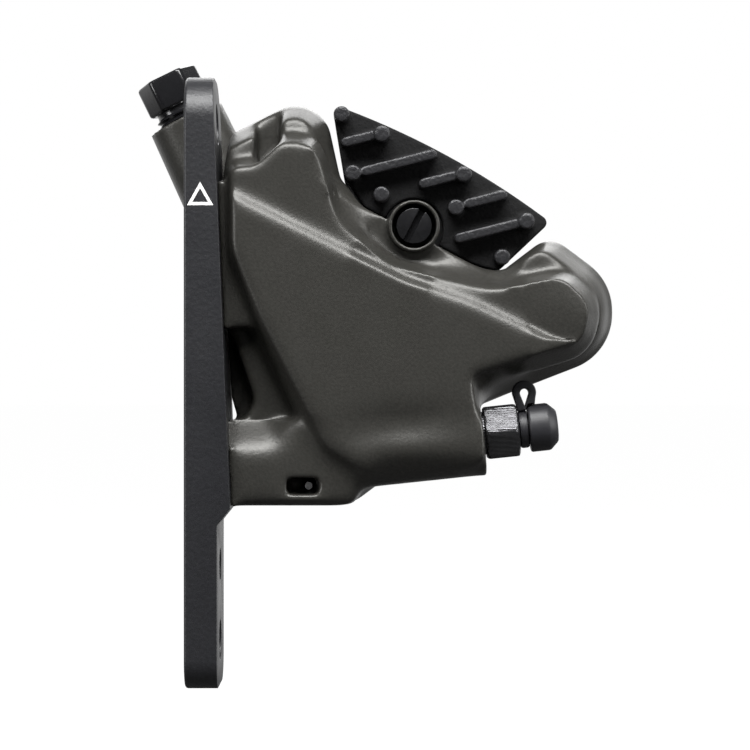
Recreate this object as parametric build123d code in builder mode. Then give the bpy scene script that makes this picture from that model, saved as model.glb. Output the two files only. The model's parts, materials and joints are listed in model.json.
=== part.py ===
"""Flat-mount hydraulic disc brake caliper on its reversible fork plate.

The origin lies midway between the plate's two fork holes, on the face that bears on the
fork. +X leads away from the fork, +Y inboard to the wheel and +Z up. Lengths are in
millimetres and angles in degrees.
"""

import os
from math import cos, hypot, radians, sin, sqrt, tan

from build123d import *

os.makedirs("parts", exist_ok=True)

# Overrun of every cut, and the small clearances that pieces share
overrun = 40.0
running_gap = 0.03
thread_gap = 0.02
lying_gap = 0.3
least_round = 0.3

# Brake disc that the caliper straddles
rotor_radius = 80.0
rotor_thickness = 1.8
rotor_y = 12.5
axle_x = -8.1
axle_z = -52.8
pad_angle = 27.7
rotor_slot_width = 4.6
rotor_slot_margin = 1.5

# Fork plate
plate_length = 82.0
plate_width = 18.0
plate_mid_thickness = 5.47
plate_wedge = 2.39
plate_foot_thickness = 4.4
plate_foot_length = 22.0
plate_ramp_length = 2.2
plate_top_corner = 6.0
plate_foot_corner = 4.0
plate_edge_round = 0.45
fork_hole_spacing = 70.0
fork_hole_radius = 2.75
spare_hole_radius = 2.25
spare_hole_drop = 24.8

# Caliper bolts
bolt_spacing = 34.0
bolt_centre_rise = 5.34
bolt_radius = 2.5
bolt_head_radius = 4.1
bolt_head_height = 2.1
bolt_head_recess = 2.5
bolt_socket_across = 4.0
bolt_socket_depth = 1.3
bolt_thread_length = 11.0
bolt_dog_radius = 1.75
bolt_dog_length = 5.9
slot_travel = 1.5
slot_side_gap = 0.3
pin_radius = 0.5
pin_leg_gap = 0.05
pin_reach = 2.6
pin_back_reach = 3.2
pin_bend_share = 0.45

# Forged body, in layers from its widest rim out to its face
body_reach = 57.9
body_height = 54.2
body_drop = 16.6
rim_front_y = 3.2
ledge_y = -2.6
mid_face_y = -7.3
top_face_y = -8.5
inner_face_y = 28.6
inner_rim_y = 22.0
housing_radius = 14.4
port_block_radius = 5.7
port_block_length = 17.0

# Feet, which bear on the fork plate
foot_front_y = -5.4
foot_back_y = 8.2
foot_depth = 9.0
upper_foot_low = 7.2
upper_foot_high = 27.0
lower_foot_low = 16.6
lower_foot_high = 5.1
lower_foot_reach = 22.6
lower_foot_front_y = -6.2
foot_corner = 1.6
window_width = 4.4
window_height = 2.3
window_corner = 0.7
window_x = 15.75
window_drop = 13.9

# Pads, pistons and seals
pad_span = 25.2
pad_low_radius = 60.5
pad_shoulder_radius = 82.2
pad_tab_radius = 91.5
pad_tab_span = 19.0
pad_corner = 2.0
backing_thickness = 1.8
friction_thickness = 1.8
friction_span = 24.0
friction_low_radius = 62.2
friction_high_radius = 79.4
friction_corner = 2.5
friction_chamfer = 0.4
pad_rotor_gap = 0.4
pad_side_gap = 0.3
pad_back_gap = 0.3
pad_travel = 1.2
piston_radius = 10.5
piston_length = 8.4
piston_wall = 2.2
piston_floor = 2.6
piston_inset = 11.4
piston_round = 0.4
bore_end_gap = 0.8
seal_section = 1.2
seal_width = 2.0
seal_inset = 1.6
bore_plug_radius = 12.0
bore_plug_height = 3.6
bore_plug_key_radius = 1.3
bore_plug_key_circle = 7.0
bore_plug_key_depth = 1.6
plug_ring_section = 1.0

# Cooling fins
fin_span = 32.6
fin_top_radius = 94.4
fin_low_radius = 82.9
fin_front_y = 3.4
fin_corner = 0.9
fin_stud_radius = 1.1
fin_stud_height = 2.9
fin_rib_width = 1.35
fin_rib_height = 2.4
fin_rib_tilt = 14.0
fin_notch_radius = 4.1
fin_pocket_gap = 0.35

# Pad axle, its boss, O-ring and snap ring
pad_axle_radius = 1.9
pad_axle_head_radius = 2.4
pad_axle_head_height = 2.4
pad_axle_head_y = -3.6
pad_axle_rise = 3.4
pad_axle_slot_width = 0.8
pad_axle_slot_depth = 1.0
pad_axle_slot_turn = 62.0
pad_axle_boss_radius = 3.5
pad_axle_boss_lip = 0.5
pad_axle_boss_gap = 0.6
pad_axle_inner_boss_length = 5.0
pad_axle_head_gap = 0.6
pad_hole_gap = 0.1
axle_ring_groove_gap = 0.3
axle_ring_section = 0.5
axle_ring_depth = 0.45
snap_ring_thickness = 0.6
snap_ring_groove = 0.4
snap_ring_width = 1.1
axle_tail = 2.0

# Pad spring
spring_thickness = 0.4
spring_span = 21.0
spring_rotor_gap = 0.6
spring_height = 7.8
spring_eye_gap = 0.25
spring_pad_gap = 0.05

# Hose tower, nut and olive
tower_y = 21.0
tower_lean = 26.0
tower_x = -1.6
tower_z = 37.5
tower_radius = 5.5
tower_foot_radius = 6.2
tower_length = 23.0
nut_thread_radius = 4.0
nut_thread_length = 9.0
nut_hex_across = 8.0
nut_hex_height = 4.6
nut_stand_off = 2.1
nut_hex_turn = 0.0
hose_bore_radius = 2.6
olive_radius = 3.6
olive_length = 4.2
olive_taper = 0.8
hose_seat_radius = 1.2

# Bleed port, nipple, ring, strap and cap
nipple_x = 39.9
nipple_y = -2.6
nipple_drop = 6.9
nipple_tilt = 6.0
nipple_thread_radius = 2.9
nipple_thread_length = 6.2
nipple_seat_gap = 0.25
nipple_hex_across = 7.0
nipple_hex_length = 4.6
nipple_hex_turn = 0.0
nipple_neck_radius = 1.9
nipple_neck_length = 1.4
nipple_barb_radius = 2.3
nipple_barb_length = 0.9
nipple_tip_radius = 1.7
nipple_tip_length = 2.2
nipple_bore_radius = 0.8
nipple_ring_section = 0.6
nipple_clearance = 10.0
cap_radius = 3.2
cap_length = 3.9
cap_chamfer = 1.1
cap_end_gap = 0.1
cap_ring_radius = 2.55
cap_ring_length = 1.3
strap_width = 2.6
strap_loop_radius = 1.58
strap_hole_radius = 0.62
strap_loop_rise = 4.96
strap_foot_length = 0.95
strap_gap = 0.05

# Hollow of the hump, and the web behind the fork plate with its small window
hollow_floor_y = 2.2
hollow_lip = 0.5
web_front_y = 2.0
web_high = 7.0
web_drop = 5.2
web_reach = 8.6
web_gap = 0.12
web_window_width = 1.0
web_window_height = 3.3

# Fluid passages
passage_radius = 0.8
passage_offset_share = 0.7
cross_along = 16.0
cross_orbit = 85.5

# Corners of the outer half: place across the reach, place up the height and round as
# shares of reach, height and reach, then how far the side that follows leans out per depth.
# The rim is drawn at its widest depth and leans in, the block at its face and leans out.
rim_shares = [
    (0.078, 0.804, 0.009, 0.05),
    (0.095, 0.932, 0.026, 0.40),
    (0.310, 1.049, 0.086, 0.40),
    (0.358, 0.815, 0.017, 0.10),
    (0.732, 0.581, 0.026, 0.10),
    (0.852, 0.678, 0.059, 0.45),
    (1.000, 0.559, 0.135, 0.45),
    (1.000, 0.379, 0.135, 0.45),
    (0.682, 0.247, 0.017, 0.0),
    (0.699, 0.074, 0.014, 0.20),
    (0.458, 0.057, 0.035, 0.20),
    (0.396, 0.007, 0.026, 0.05),
    (0.112, 0.007, 0.009, 0.0),
    (0.112, 0.200, 0.014, 0.10),
    (0.150, 0.256, 0.021, 0.10),
    (0.092, 0.435, 0.010, 0.0),
]
block_shares = [
    (0.109, 0.830, 0.014, 0.30),
    (0.161, 0.830, 0.026, 0.30),
    (0.218, 0.886, 0.026, 0.40),
    (0.297, 0.886, 0.052, 0.25),
    (0.345, 0.703, 0.104, 0.25),
    (0.466, 0.590, 0.138, 0.25),
    (0.708, 0.526, 0.173, 0.25),
    (0.860, 0.559, 0.052, 0.40),
    (0.921, 0.498, 0.052, 0.45),
    (0.905, 0.408, 0.052, 0.40),
    (0.660, 0.327, 0.017, 0.10),
    (0.691, 0.100, 0.026, 0.20),
    (0.423, 0.081, 0.052, 0.20),
    (0.332, 0.140, 0.043, 0.45),
    (0.176, 0.467, 0.138, 0.45),
    (0.109, 0.642, 0.104, 0.20),
]
# Lower facets of the block's face, cut along the ridge that runs down to the lobe
facet_shares = [
    (0.060, 0.808, 0.0, 0.0),
    (0.060, 1.100, 0.0, 0.0),
    (1.080, 1.100, 0.0, 0.0),
    (1.080, 0.400, 0.0, 0.0),
    (0.870, 0.412, 0.052, 1.0),
    (0.665, 0.515, 0.138, 1.0),
    (0.509, 0.572, 0.207, 1.0),
]
# Inboard housing, at its widest depth
housing_shares = [
    (0.095, 0.600, 0.052, 0.15),
    (0.095, 0.932, 0.026, 0.40),
    (0.310, 1.049, 0.086, 0.40),
    (0.358, 0.815, 0.017, 0.10),
    (0.732, 0.581, 0.026, 0.10),
    (0.852, 0.678, 0.059, 0.45),
    (1.000, 0.559, 0.135, 0.45),
    (1.000, 0.379, 0.135, 0.45),
    (0.640, 0.222, 0.052, 0.30),
    (0.330, 0.222, 0.155, 0.30),
]

# Corners of a fin along its span and up its height, as shares of its span and height from
# its middle and low edge; its top edge is an arc about the disc's axle
fin_corner_shares = [
    (0.497, 0.87),
    (0.399, 0.06),
    (0.288, 0.0),
    (-0.224, 0.0),
    (-0.362, 0.210),
    (-0.548, 0.907),
]

# Studs and ribs of the outer fin: place along the span and up the fin, as shares of its
# span and height from its middle and low edge, and each rib's length as a share of the span
fin_stud_shares = [
    (-0.487, 0.836),
    (-0.299, 0.850),
    (-0.331, 0.281),
    (-0.184, 0.213),
    (0.082, 0.879),
    (0.117, 0.488),
    (0.405, 0.732),
    (0.385, 0.222),
]
fin_rib_shares = [
    (-0.375, 0.675, 0.152),
    (-0.181, 0.643, 0.329),
    (-0.002, 0.681, 0.167),
    (0.211, 0.739, 0.187),
    (0.280, 0.416, 0.285),
]


def at_depth(depth):
    """Sketch plane at the given Y, seen from the outboard side, X right and Z up."""
    return Plane.XZ.offset(-depth)


def brake_plane(depth):
    """Sketch plane at the given Y on the disc's axle: x along the pads, y radially out."""
    turn = radians(pad_angle)
    return Plane(origin=(axle_x, depth, axle_z), x_dir=(cos(turn), 0, -sin(turn)), z_dir=(0, -1, 0))


def brake_point(along, out):
    """X and Z of a point given along the pads and radially out from the disc's axle."""
    turn = radians(pad_angle)
    return (
        axle_x + along * cos(turn) + out * sin(turn),
        axle_z - along * sin(turn) + out * cos(turn),
    )


def seat_x(height):
    """X of the plate's wedge face, which the feet bear on, at a height."""
    return plate_mid_thickness - height * tan(radians(plate_wedge))


def leaned_outline(shares, depth):
    """Corners and rounds of a clockwise outline after each side has leaned out over a depth."""
    corners = [(x * body_reach, z * body_height - body_drop) for x, z, _, _ in shares]
    sides = []
    for index, (x, z) in enumerate(corners):
        next_x, next_z = corners[(index + 1) % len(corners)]
        length = hypot(next_x - x, next_z - z)
        along = ((next_x - x) / length, (next_z - z) / length)
        shift = shares[index][3] * depth
        sides.append((x - along[1] * shift, z + along[0] * shift, *along, shift))
    moved = []
    rounds = []
    for index, (x, z, along_x, along_z, shift) in enumerate(sides):
        last_x, last_z, last_along_x, last_along_z, last_shift = sides[index - 1]
        turn = last_along_x * along_z - last_along_z * along_x
        step = ((x - last_x) * along_z - (z - last_z) * along_x) / turn
        moved.append((last_x + step * last_along_x, last_z + step * last_along_z))
        grown = (shift + last_shift) / 2 if turn < 0 else -(shift + last_shift) / 2
        rounds.append(max(shares[index][2] * body_reach + grown, least_round))
    return moved, rounds


# Depths that follow from the disc, the pads and the pistons
friction_face_y = rotor_y - rotor_thickness / 2 - pad_rotor_gap
backing_face_y = friction_face_y - friction_thickness
backing_back_y = backing_face_y - backing_thickness
piston_back_y = backing_back_y - piston_length
bore_end_y = piston_back_y - bore_end_gap
cavity_front_y = backing_back_y - pad_back_gap
fin_pocket_y = backing_back_y + pad_travel + pad_back_gap
slot_front_y = rotor_y - rotor_slot_width / 2
piston_x, piston_z = brake_point(0, rotor_radius - piston_inset)
pad_axle_orbit = rotor_radius + pad_axle_rise
pad_axle_x, pad_axle_z = brake_point(0, pad_axle_orbit)


def across(depth):
    """The Y that mirrors the given one in the disc's middle plane."""
    return 2 * rotor_y - depth


def fin_point(along, up):
    """Point in the brake plane from shares of the fin's span and height."""
    return (along * fin_span, fin_low_radius + up * (fin_top_radius - fin_low_radius))


fin_corners = [fin_point(along, up) for along, up in fin_corner_shares]
axle_head_back_y = pad_axle_head_y + pad_axle_head_height
axle_ring_y = axle_head_back_y + axle_ring_groove_gap
inner_boss_end_y = across(cavity_front_y) + pad_axle_boss_gap + pad_axle_inner_boss_length
snap_ring_y = inner_boss_end_y + lying_gap
snap_ring_radius = pad_axle_radius - snap_ring_groove + snap_ring_width
axle_end_y = inner_boss_end_y + axle_tail
spring_low_radius = rotor_radius + spring_rotor_gap
bore_radius = piston_radius + running_gap
seal_front_y = cavity_front_y - seal_inset - seal_width
bolt_low_z = bolt_centre_rise - bolt_spacing / 2
bolt_high_z = bolt_centre_rise + bolt_spacing / 2
bolt_tip_x = bolt_head_recess + bolt_thread_length + bolt_dog_length
bolt_dog_x = bolt_head_recess + bolt_thread_length
pin_leg_drop = bolt_dog_radius + pin_radius + pin_leg_gap
pin_x = bolt_dog_x + bolt_dog_length / 2
olive_end_depth = nut_thread_length - nut_stand_off + olive_length + lying_gap
tower_axis = (-sin(radians(tower_lean)), 0, cos(radians(tower_lean)))
nipple_axis = (cos(radians(nipple_tilt)), 0, sin(radians(nipple_tilt)))
hex_to_corner = 2 / sqrt(3)
disc_plane = Plane.XZ.offset(-rotor_y)
cap_start = nipple_seat_gap + nipple_hex_length + nipple_neck_length


def tower_plane(rise):
    """Plane square to the hose axis, at a distance out of the tower's mouth."""
    origin = (tower_x + rise * tower_axis[0], tower_y, tower_z + rise * tower_axis[2])
    across_axis = (cos(radians(tower_lean)), 0, sin(radians(tower_lean)))
    return Plane(origin=origin, x_dir=across_axis, z_dir=tower_axis)


def nipple_plane(reach):
    """Plane square to the nipple, at a distance out of the port's face; its y points up."""
    origin = (nipple_x + reach * nipple_axis[0], nipple_y, -nipple_drop + reach * nipple_axis[2])
    return Plane(origin=origin, x_dir=(0, 1, 0), z_dir=nipple_axis)


# Ends of the drilled passages: nipple to outer bore, outer bore through the bridge to the
# inner bore, and inner bore to the hose tower
cross_x, cross_z = brake_point(-cross_along, cross_orbit)
passage_y = bore_end_y + passage_radius + lying_gap
passage_offset = piston_radius * passage_offset_share
cross_front = (cross_x, passage_y, cross_z)
cross_back = (cross_x, across(passage_y), cross_z)
nipple_foot = tuple(nipple_plane(-nipple_thread_length).origin)
tower_foot = tuple(tower_plane(-olive_end_depth).origin)
passages = [
    (nipple_foot, (piston_x, passage_y, piston_z - passage_offset)),
    (cross_front, (piston_x - passage_offset, passage_y, piston_z)),
    (cross_front, cross_back),
    (cross_back, (piston_x - passage_offset, across(passage_y), piston_z)),
    (tower_foot, (piston_x - passage_offset, across(passage_y), piston_z)),
]


# Fork plate: a wedge with round ends, its lower end thinner
with BuildPart() as mount_plate:
    foot_top = -plate_length / 2 + plate_foot_length
    ramp_top = foot_top + plate_ramp_length
    with BuildSketch(at_depth(-plate_width / 2)):
        with BuildLine():
            Polyline(
                (0, plate_length / 2),
                (seat_x(plate_length / 2), plate_length / 2),
                (seat_x(ramp_top), ramp_top),
                (plate_foot_thickness, foot_top),
                (plate_foot_thickness, -plate_length / 2),
                (0, -plate_length / 2),
                close=True,
            )
        make_face()
    extrude(amount=-plate_width)
    end_edges = mount_plate.edges().filter_by(Axis.X).group_by(Axis.Z)
    fillet(end_edges[-1], plate_top_corner)
    end_edges = mount_plate.edges().filter_by(Axis.X).group_by(Axis.Z)
    fillet(end_edges[0], plate_foot_corner)
    fillet(mount_plate.faces().sort_by(Axis.X)[0].outer_wire().edges(), plate_edge_round)
    with Locations(Plane.YZ):
        with GridLocations(0, fork_hole_spacing, 1, 2):
            Hole(fork_hole_radius)
        with Locations((0, -spare_hole_drop)):
            Hole(spare_hole_radius)
    with BuildSketch(Plane.YZ):
        with Locations((0, bolt_low_z), (0, bolt_high_z)):
            SlotCenterToCenter(2 * slot_travel, 2 * (bolt_radius + slot_side_gap))
    extrude(amount=overrun, both=True, mode=Mode.SUBTRACT)
    with BuildSketch(Plane.YZ.offset(bolt_head_recess)):
        with Locations((0, bolt_low_z), (0, bolt_high_z)):
            SlotCenterToCenter(2 * slot_travel, 2 * (bolt_head_radius + slot_side_gap))
    extrude(amount=-overrun, mode=Mode.SUBTRACT)
mount_plate.part.label = "mount_plate"
export_step(mount_plate.part, "parts/mount_plate.step")


# Two caliper bolts, each with a socket head and a cross-drilled dog point
with BuildPart() as caliper_bolts:
    for bolt_z in (bolt_low_z, bolt_high_z):
        with BuildSketch(Plane.YZ.offset(bolt_head_recess)):
            with Locations((0, bolt_z)):
                Circle(bolt_head_radius)
        extrude(amount=-bolt_head_height)
        with BuildSketch(Plane.YZ.offset(bolt_head_recess)):
            with Locations((0, bolt_z)):
                Circle(bolt_radius)
        extrude(amount=bolt_thread_length)
        with BuildSketch(Plane.YZ.offset(bolt_dog_x)):
            with Locations((0, bolt_z)):
                Circle(bolt_dog_radius)
        extrude(amount=bolt_dog_length)
        with BuildSketch(Plane.YZ.offset(bolt_head_recess - bolt_head_height)):
            with Locations((0, bolt_z)):
                RegularPolygon(bolt_socket_across / 2, 6, major_radius=False)
        extrude(amount=bolt_socket_depth, mode=Mode.SUBTRACT)
        with BuildSketch(at_depth(0)):
            with Locations((bolt_dog_x + bolt_dog_length / 2, bolt_z)):
                Circle(pin_radius + thread_gap)
        extrude(amount=overrun, both=True, mode=Mode.SUBTRACT)
caliper_bolts.part.label = "caliper_bolts"
export_step(caliper_bolts.part, "parts/caliper_bolts.step")


# Hairpin through each bolt's point, its second leg under the point
with BuildPart() as bolt_retaining_pins:
    for bolt_z in (bolt_low_z, bolt_high_z):
        with BuildLine() as pin_route:
            FilletPolyline(
                (pin_x, -pin_reach, bolt_z),
                (pin_x, pin_back_reach + pin_leg_drop / 2, bolt_z),
                (pin_x, pin_back_reach + pin_leg_drop / 2, bolt_z - pin_leg_drop),
                (pin_x, -pin_reach, bolt_z - pin_leg_drop),
                radius=pin_leg_drop * pin_bend_share,
            )
        with BuildSketch(Plane(origin=(pin_x, -pin_reach, bolt_z), z_dir=(0, 1, 0))):
            Circle(pin_radius)
        sweep(path=pin_route.wire())
bolt_retaining_pins.part.label = "bolt_retaining_pins"
export_step(bolt_retaining_pins.part, "parts/bolt_retaining_pins.step")


# Forged body: drafted layers outboard, bridges over the disc, drafted housing inboard
with BuildPart() as caliper_body:
    # Rim of the outer half: straight behind its widest depth, leaning in to the ledge
    for depth in (rim_front_y, ledge_y):
        corners, rounds = leaned_outline(rim_shares, depth - rim_front_y)
        with BuildSketch(at_depth(depth)):
            with BuildLine():
                FilletPolyline(*corners, radius=rounds, close=True)
            make_face()
    loft(ruled=True)
    corners, rounds = leaned_outline(rim_shares, 0)
    with BuildSketch(at_depth(rim_front_y)):
        with BuildLine():
            FilletPolyline(*corners, radius=rounds, close=True)
        make_face()
    extrude(amount=rim_front_y - slot_front_y)
    # Block that rises from the ledge to the face, with its lower facets
    for depth in (ledge_y + lying_gap, top_face_y):
        corners, rounds = leaned_outline(block_shares, depth - top_face_y)
        with BuildSketch(at_depth(depth)):
            with BuildLine():
                FilletPolyline(*corners, radius=rounds, close=True)
            make_face()
    loft(ruled=True)
    for depth in (mid_face_y, 2 * top_face_y - mid_face_y):
        corners, rounds = leaned_outline(facet_shares, mid_face_y - depth)
        with BuildSketch(at_depth(depth)):
            with BuildLine():
                FilletPolyline(*corners, radius=rounds, close=True)
            make_face()
    loft(ruled=True, mode=Mode.SUBTRACT)
    # Hollow in the hump above the step of the ridge
    (low_x, low_z), (high_x, high_z) = leaned_outline(block_shares, 0)[0][1:3]
    with BuildSketch(at_depth(hollow_floor_y)):
        with BuildLine():
            Polyline(
                (low_x, low_z + hollow_lip),
                (low_x, body_height),
                (high_x, body_height),
                (high_x, high_z + hollow_lip),
                close=True,
            )
        make_face()
    extrude(amount=overrun, mode=Mode.SUBTRACT)
    # Web that all but closes the gap between the body and the fork plate
    with BuildSketch(at_depth(web_front_y)):
        with BuildLine():
            Polyline(
                (seat_x(web_high) + web_gap, web_high),
                (web_reach, web_high),
                (web_reach, -web_drop),
                (seat_x(-web_drop) + web_window_width, -web_drop),
                (seat_x(-web_drop) + web_gap, web_window_height - web_drop),
                close=True,
            )
        make_face()
    extrude(amount=web_front_y - slot_front_y)
    # Feet on the fork plate
    for low, high, front_y, reach in (
        (upper_foot_low, upper_foot_high, foot_front_y, foot_depth),
        (-lower_foot_low, -lower_foot_high, lower_foot_front_y, lower_foot_reach - seat_x(0)),
    ):
        with BuildSketch(at_depth(front_y)):
            with BuildLine():
                FilletPolyline(
                    (seat_x(low), low),
                    (seat_x(high), high),
                    (seat_x(high) + reach, high),
                    (seat_x(low) + reach, low),
                    radius=[least_round, least_round, foot_corner, foot_corner],
                    close=True,
                )
            make_face()
        extrude(amount=front_y - foot_back_y)
    # Port block round the bleed nipple
    with BuildSketch(nipple_plane(0)):
        Circle(port_block_radius)
    extrude(amount=-port_block_length)
    # Inboard half: bridges and housing, drafted to its inner face
    corners, rounds = leaned_outline(housing_shares, 0)
    with BuildSketch(at_depth(slot_front_y)):
        with BuildLine():
            FilletPolyline(*corners, radius=rounds, close=True)
        make_face()
    extrude(amount=slot_front_y - inner_rim_y)
    for depth in (inner_rim_y, inner_face_y):
        corners, rounds = leaned_outline(housing_shares, inner_rim_y - depth)
        with BuildSketch(at_depth(depth)):
            with BuildLine():
                FilletPolyline(*corners, radius=rounds, close=True)
            make_face()
    loft(ruled=True)
    with BuildSketch(at_depth(slot_front_y)):
        with Locations((piston_x, piston_z)):
            Circle(housing_radius)
    extrude(amount=slot_front_y - inner_face_y)
    # Hose tower
    with BuildSketch(tower_plane(-tower_length)):
        Circle(tower_foot_radius)
    with BuildSketch(tower_plane(0)):
        Circle(tower_radius)
    loft(ruled=True)
    # Slot for the disc, cavity for the pads, pockets for the fins
    with BuildSketch(brake_plane(slot_front_y)):
        Circle(rotor_radius + rotor_slot_margin)
    extrude(amount=-rotor_slot_width, mode=Mode.SUBTRACT)
    with BuildSketch(brake_plane(cavity_front_y)):
        with Locations((0, pad_low_radius - pad_side_gap)):
            Rectangle(pad_span + 2 * pad_side_gap, overrun, align=(Align.CENTER, Align.MIN))
    extrude(amount=cavity_front_y - across(cavity_front_y), mode=Mode.SUBTRACT)
    for pocket_y, pocket_depth in ((fin_pocket_y, overrun), (across(fin_pocket_y), -overrun)):
        with BuildSketch(brake_plane(pocket_y)):
            with BuildLine():
                Polyline(*fin_corners)
                ThreePointArc(fin_corners[-1], (0, fin_top_radius), fin_corners[0])
            make_face()
            offset(amount=fin_pocket_gap, kind=Kind.INTERSECTION)
        extrude(amount=pocket_depth, mode=Mode.SUBTRACT)
    # Bosses of the pad axle
    with BuildSketch(at_depth(pad_axle_head_y - pad_axle_boss_lip)):
        with Locations((pad_axle_x, pad_axle_z)):
            Circle(pad_axle_boss_radius)
    extrude(amount=pad_axle_head_y - pad_axle_boss_lip - cavity_front_y + pad_axle_boss_gap)
    with BuildSketch(at_depth(across(cavity_front_y) + pad_axle_boss_gap)):
        with Locations((pad_axle_x, pad_axle_z)):
            Circle(pad_axle_boss_radius)
    extrude(amount=-pad_axle_inner_boss_length)
    with BuildSketch(at_depth(0)):
        with Locations((pad_axle_x, pad_axle_z)):
            Circle(pad_axle_radius + running_gap)
    extrude(amount=overrun, both=True, mode=Mode.SUBTRACT)
    with BuildSketch(at_depth(pad_axle_head_y + pad_axle_head_height)):
        with Locations((pad_axle_x, pad_axle_z)):
            Circle(pad_axle_head_radius + pad_axle_head_gap)
    extrude(amount=overrun, mode=Mode.SUBTRACT)
    with BuildSketch(at_depth(inner_boss_end_y)):
        with Locations((pad_axle_x, pad_axle_z)):
            Circle(snap_ring_radius + lying_gap)
    extrude(amount=inner_boss_end_y - axle_end_y - lying_gap, mode=Mode.SUBTRACT)
    # Piston bores with their seal grooves, and the seat of the bore plug
    with BuildSketch(at_depth(bore_end_y)):
        with Locations((piston_x, piston_z)):
            Circle(bore_radius)
    extrude(amount=bore_end_y - across(bore_end_y), mode=Mode.SUBTRACT)
    for groove_y in (seal_front_y, across(seal_front_y) - seal_width):
        with BuildSketch(at_depth(groove_y)):
            with Locations((piston_x, piston_z)):
                Circle(piston_radius + seal_section)
        extrude(amount=-seal_width, mode=Mode.SUBTRACT)
    with BuildSketch(at_depth(across(bore_end_y))):
        with Locations((piston_x, piston_z)):
            Circle(bore_plug_radius)
    extrude(amount=-overrun, mode=Mode.SUBTRACT)
    # Bolt holes and the pockets of their pins
    for bolt_z in (bolt_low_z, bolt_high_z):
        with BuildSketch(Plane.YZ):
            with Locations((0, bolt_z)):
                Circle(bolt_radius + thread_gap)
        extrude(amount=bolt_dog_x + thread_gap, mode=Mode.SUBTRACT)
        with BuildSketch(Plane.YZ):
            with Locations((0, bolt_z)):
                Circle(bolt_dog_radius + lying_gap)
        extrude(amount=bolt_tip_x + lying_gap, mode=Mode.SUBTRACT)
        with BuildSketch(at_depth(-pin_reach - lying_gap)):
            with Locations((pin_x, bolt_z - pin_leg_drop / 2)):
                Rectangle(
                    2 * (pin_radius + lying_gap),
                    pin_leg_drop + 2 * (pin_radius + lying_gap),
                )
        extrude(amount=-(pin_reach + slot_front_y), mode=Mode.SUBTRACT)
    with BuildSketch(at_depth(lower_foot_front_y)):
        with Locations((window_x, -window_drop)):
            RectangleRounded(window_width, window_height, window_corner)
    extrude(amount=lower_foot_front_y + pin_reach, mode=Mode.SUBTRACT)
    # Bores of the hose tower and of the bleed port
    for bore_depth, radius in (
        (nut_thread_length + lying_gap, nut_thread_radius + thread_gap),
        (olive_end_depth, olive_radius + thread_gap),
        (olive_end_depth + olive_taper, hose_seat_radius),
    ):
        with BuildSketch(tower_plane(0)):
            Circle(radius)
        extrude(amount=-bore_depth, mode=Mode.SUBTRACT)
    with BuildSketch(nipple_plane(0)):
        Circle(nipple_thread_radius + thread_gap)
    extrude(amount=-nipple_thread_length - lying_gap, mode=Mode.SUBTRACT)
    with BuildSketch(nipple_plane(0)):
        Circle(nipple_hex_across / 2 * hex_to_corner + lying_gap)
    extrude(amount=nipple_clearance, mode=Mode.SUBTRACT)
    # Drilled fluid passages
    for start, end in passages:
        with BuildSketch(Plane(origin=start, z_dir=Vector(*end) - Vector(*start))):
            Circle(passage_radius)
        extrude(amount=(Vector(*end) - Vector(*start)).length, mode=Mode.SUBTRACT)
caliper_body.part.label = "caliper_body"
export_step(caliper_body.part, "parts/caliper_body.step")


# Screwed plug that closes the inboard bore, with its key holes and side groove
plug_front_y = across(bore_end_y)
plug_groove_y = plug_front_y + plug_ring_section / 2
with BuildPart() as bore_plug:
    with BuildSketch(at_depth(plug_front_y)):
        with Locations((piston_x, piston_z)):
            Circle(bore_plug_radius - thread_gap)
    extrude(amount=-bore_plug_height)
    chamfer(bore_plug.faces().sort_by(Axis.Y)[-1].edges(), piston_round)
    with BuildSketch(at_depth(plug_front_y + bore_plug_height - bore_plug_key_depth)):
        with Locations((piston_x, piston_z)):
            with PolarLocations(bore_plug_key_circle, 3):
                Circle(bore_plug_key_radius)
    extrude(amount=-overrun, mode=Mode.SUBTRACT)
    with BuildSketch(at_depth(plug_groove_y)):
        with Locations((piston_x, piston_z)):
            Circle(bore_plug_radius)
            Circle(bore_plug_radius - plug_ring_section, mode=Mode.SUBTRACT)
    extrude(amount=-plug_ring_section, mode=Mode.SUBTRACT)
bore_plug.part.label = "bore_plug"
export_step(bore_plug.part, "parts/bore_plug.step")


with BuildPart() as bore_plug_oring:
    with BuildSketch(at_depth(plug_groove_y)):
        with Locations((piston_x, piston_z)):
            Circle(bore_plug_radius)
            Circle(bore_plug_radius - plug_ring_section, mode=Mode.SUBTRACT)
    extrude(amount=-plug_ring_section)
bore_plug_oring.part.label = "bore_plug_oring"
export_step(bore_plug_oring.part, "parts/bore_plug_oring.step")


# Cup-shaped pistons, open towards their pads
with BuildPart() as outer_piston:
    with BuildSketch(at_depth(backing_back_y)):
        with Locations((piston_x, piston_z)):
            Circle(piston_radius)
    extrude(amount=piston_length)
    fillet(outer_piston.edges().sort_by(Axis.Y)[0], piston_round)
    with BuildSketch(at_depth(backing_back_y)):
        with Locations((piston_x, piston_z)):
            Circle(piston_radius - piston_wall)
    extrude(amount=piston_length - piston_floor, mode=Mode.SUBTRACT)
outer_piston.part.label = "outer_piston"
export_step(outer_piston.part, "parts/outer_piston.step")


with BuildPart() as inner_piston:
    add(mirror(outer_piston.part, about=disc_plane, mode=Mode.PRIVATE))
inner_piston.part.label = "inner_piston"
export_step(inner_piston.part, "parts/inner_piston.step")


# Square-section seals in the grooves of the bores
with BuildPart() as outer_piston_seal:
    with BuildSketch(at_depth(seal_front_y)):
        with Locations((piston_x, piston_z)):
            Circle(piston_radius + seal_section)
            Circle(bore_radius, mode=Mode.SUBTRACT)
    extrude(amount=-seal_width)
outer_piston_seal.part.label = "outer_piston_seal"
export_step(outer_piston_seal.part, "parts/outer_piston_seal.step")


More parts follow.
